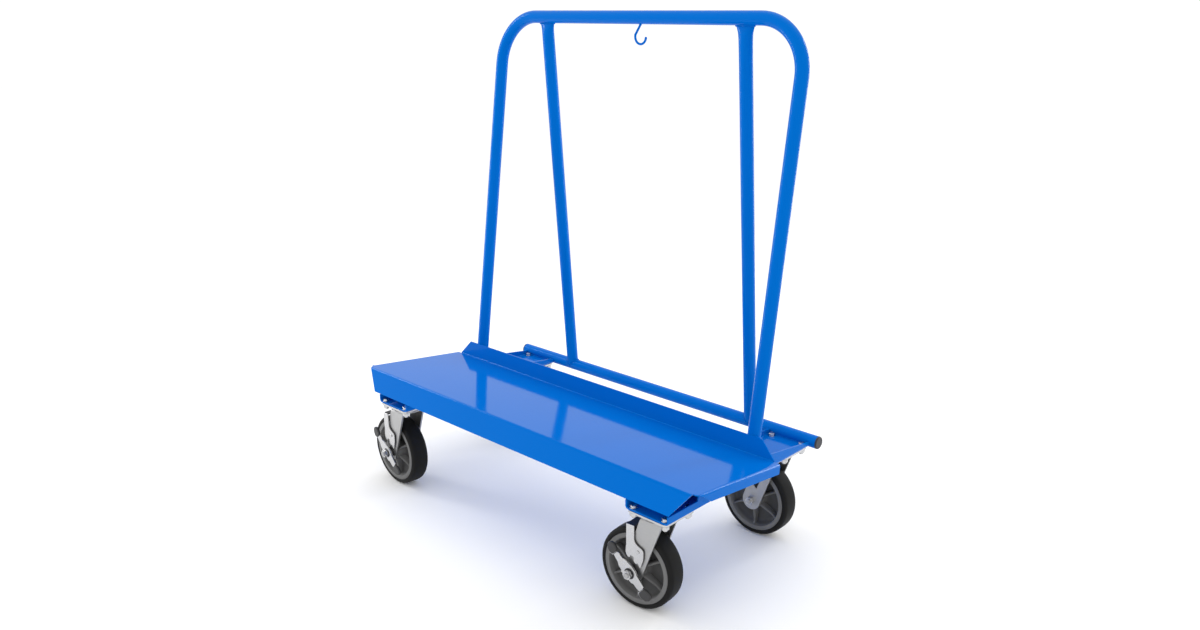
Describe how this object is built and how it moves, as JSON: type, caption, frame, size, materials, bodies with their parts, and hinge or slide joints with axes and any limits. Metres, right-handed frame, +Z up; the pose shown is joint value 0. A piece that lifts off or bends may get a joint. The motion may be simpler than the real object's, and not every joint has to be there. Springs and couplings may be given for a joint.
{
  "type": "drywall cart",
  "caption": "Drywall panel cart: a sloped sheet-steel deck on two cross channels, a leaning tubular A-frame behind it, and swivel casters, the front ones with side brakes.",
  "frame": {"origin": "middle of the cart's footprint, on the floor", "axes": "+X along the cart, +Y from the loading side to the back, +Z up"},
  "size_m": [1.2163, 0.6103, 1.3097],
  "materials": {
    "blue_powder_coat": "glossy saturated blue powder coat",
    "zinc_plate": "dull zinc plate",
    "bright_zinc": "bright clear zinc plate",
    "bearing_steel": "polished, lightly greased",
    "dark_steel": "blackened steel",
    "wheel_grey": "grey-painted casting, slightly rough",
    "tyre_rubber": "solid black rubber, satin",
    "cap_plastic": "moulded black plastic",
    "pad_plastic": "moulded dark grey plastic with a fine grain"
  },
  "bodies": {
    "cart": {"deck_tray": "blue_powder_coat", "channel_right": "blue_powder_coat", "channel_left": "blue_powder_coat", "front_hoop": "blue_powder_coat", "rear_leg_right": "blue_powder_coat", "rear_leg_left": "blue_powder_coat", "rear_tube": "blue_powder_coat", "tube_caps": "cap_plastic", "tool_hook": "blue_powder_coat", "caster_bolts": "zinc_plate", "caster_washers": "zinc_plate", "caster_nuts": "bright_zinc", "caster_plates": "bright_zinc", "kingpins": "zinc_plate", "swivel_balls": "bearing_steel"},
    "swivel_front_right": {"yoke_front_right": "zinc_plate", "axle_bolt_front_right": "zinc_plate", "axle_nut_front_right": "bright_zinc", "axle_sleeve_front_right": "zinc_plate", "guide_rivet_front_right": "bright_zinc"},
    "wheel_front_right": {"wheel_core_front_right": "wheel_grey", "wheel_bearing_front_right": "bearing_steel", "tyre_front_right": "tyre_rubber"},
    "brake_arm_front_right": {"brake_arm_front_right": "bright_zinc", "brake_shoe_front_right": "dark_steel"},
    "pedal_front_right": {"pedal_front_right": "bright_zinc", "pedal_pads_front_right": "pad_plastic"},
    "swivel_front_left": {"yoke_front_left": "zinc_plate", "axle_bolt_front_left": "zinc_plate", "axle_nut_front_left": "bright_zinc", "axle_sleeve_front_left": "zinc_plate", "guide_rivet_front_left": "bright_zinc"},
    "wheel_front_left": {"wheel_core_front_left": "wheel_grey", "wheel_bearing_front_left": "bearing_steel", "tyre_front_left": "tyre_rubber"},
    "brake_arm_front_left": {"brake_arm_front_left": "bright_zinc", "brake_shoe_front_left": "dark_steel"},
    "pedal_front_left": {"pedal_front_left": "bright_zinc", "pedal_pads_front_left": "pad_plastic"},
    "swivel_rear_right": {"yoke_rear_right": "zinc_plate", "axle_bolt_rear_right": "zinc_plate", "axle_nut_rear_right": "bright_zinc", "axle_sleeve_rear_right": "zinc_plate"},
    "wheel_rear_right": {"wheel_core_rear_right": "wheel_grey", "wheel_bearing_rear_right": "bearing_steel", "tyre_rear_right": "tyre_rubber"},
    "swivel_rear_left": {"yoke_rear_left": "zinc_plate", "axle_bolt_rear_left": "zinc_plate", "axle_nut_rear_left": "bright_zinc", "axle_sleeve_rear_left": "zinc_plate"},
    "wheel_rear_left": {"wheel_core_rear_left": "wheel_grey", "wheel_bearing_rear_left": "bearing_steel", "tyre_rear_left": "tyre_rubber"}
  },
  "joints": [
    {"name": "swivel_turn_front_right", "type": "hinge", "parent": "cart", "child": "swivel_front_right", "pos_m": [0.4823, -0.2412, 0.248], "axis": [0, 0, 1], "continuous": true},
    {"name": "wheel_spin_front_right", "type": "hinge", "parent": "swivel_front_right", "child": "wheel_front_right", "pos_m": [0.43303, -0.24594, 0.1016], "axis": [-0.0958, 0.9954, 0], "continuous": true},
    {"name": "pedal_tilt_front_right", "type": "hinge", "parent": "swivel_front_right", "child": "pedal_front_right", "pos_m": [0.43303, -0.24594, 0.1016], "axis": [0.0958, -0.9954, 0], "range_deg": [0, 18]},
    {"name": "brake_slide_front_right", "type": "slide", "parent": "swivel_front_right", "child": "brake_arm_front_right", "axis": [0, 0, -1], "range_m": [0, 0.003]},
    {"name": "swivel_turn_front_left", "type": "hinge", "parent": "cart", "child": "swivel_front_left", "pos_m": [-0.4567, -0.2412, 0.248], "axis": [0, 0, 1], "continuous": true},
    {"name": "wheel_spin_front_left", "type": "hinge", "parent": "swivel_front_left", "child": "wheel_front_left", "pos_m": [-0.50613, -0.23861, 0.1016], "axis": [0.0523, 0.9986, 0], "continuous": true},
    {"name": "pedal_tilt_front_left", "type": "hinge", "parent": "swivel_front_left", "child": "pedal_front_left", "pos_m": [-0.50613, -0.23861, 0.1016], "axis": [-0.0523, -0.9986, 0], "range_deg": [0, 18]},
    {"name": "brake_slide_front_left", "type": "slide", "parent": "swivel_front_left", "child": "brake_arm_front_left", "axis": [0, 0, -1], "range_m": [0, 0.003]},
    {"name": "swivel_turn_rear_right", "type": "hinge", "parent": "cart", "child": "swivel_rear_right", "pos_m": [0.4823, 0.2195, 0.248], "axis": [0, 0, 1], "continuous": true},
    {"name": "wheel_spin_rear_right", "type": "hinge", "parent": "swivel_rear_right", "child": "wheel_rear_right", "pos_m": [0.4328, 0.2195, 0.1016], "axis": [0, 1, 0], "continuous": true},
    {"name": "swivel_turn_rear_left", "type": "hinge", "parent": "cart", "child": "swivel_rear_left", "pos_m": [-0.4567, 0.2195, 0.248], "axis": [0, 0, 1], "continuous": true},
    {"name": "wheel_spin_rear_left", "type": "hinge", "parent": "swivel_rear_left", "child": "wheel_rear_left", "pos_m": [-0.50617, 0.21777, 0.1016], "axis": [-0.0349, 0.9994, 0], "continuous": true}
  ],
  "couplings": [
    {"joint": "brake_slide_front_right", "follows": "pedal_tilt_front_right", "m_per_rad": 0.0095493},
    {"joint": "brake_slide_front_left", "follows": "pedal_tilt_front_left", "m_per_rad": 0.0095493}
  ]
}
